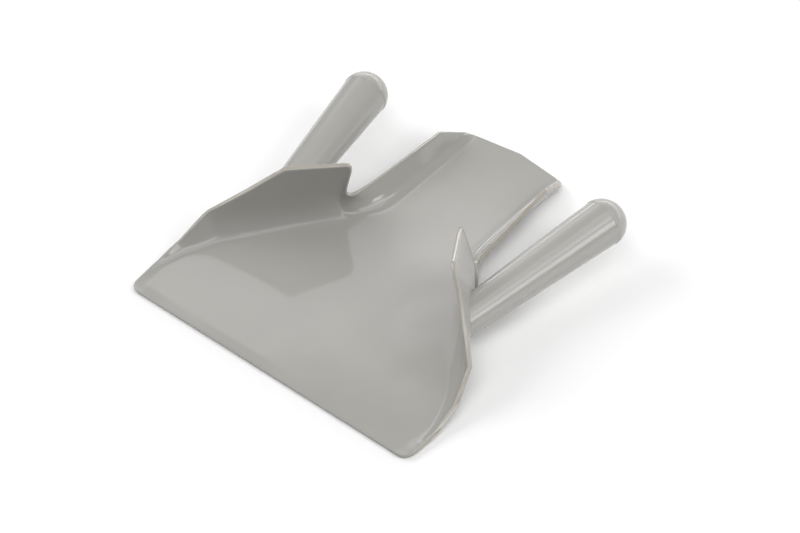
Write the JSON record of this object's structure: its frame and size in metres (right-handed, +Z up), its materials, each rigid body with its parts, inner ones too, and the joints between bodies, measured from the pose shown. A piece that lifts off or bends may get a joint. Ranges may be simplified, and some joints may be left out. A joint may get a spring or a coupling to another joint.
{
  "type": "two-handled chip scoop",
  "caption": "Wide flat scoop that funnels back between upturned wings into an open chute, with a round tapered handle on each side, for bagging chips or fries.",
  "frame": {"origin": "centre of the bounding box, on the flat underside the scoop rests on", "axes": "+Z up out of the pan; +Y from the lip back to the open end of the chute; +X to the right-hand handle seen from behind the lip"},
  "size_m": [0.2116, 0.2376, 0.0557],
  "materials": {
    "scoop_plastic": "glossy moulded light warm grey",
    "handle_plastic": "glossy moulded light warm grey",
    "cap_plastic": "glossy moulded light warm grey"
  },
  "bodies": {
    "root": {"scoop_body": "scoop_plastic", "left_handle": "handle_plastic", "right_handle": "handle_plastic", "left_end_cap": "cap_plastic", "right_end_cap": "cap_plastic"}
  },
  "joints": []
}
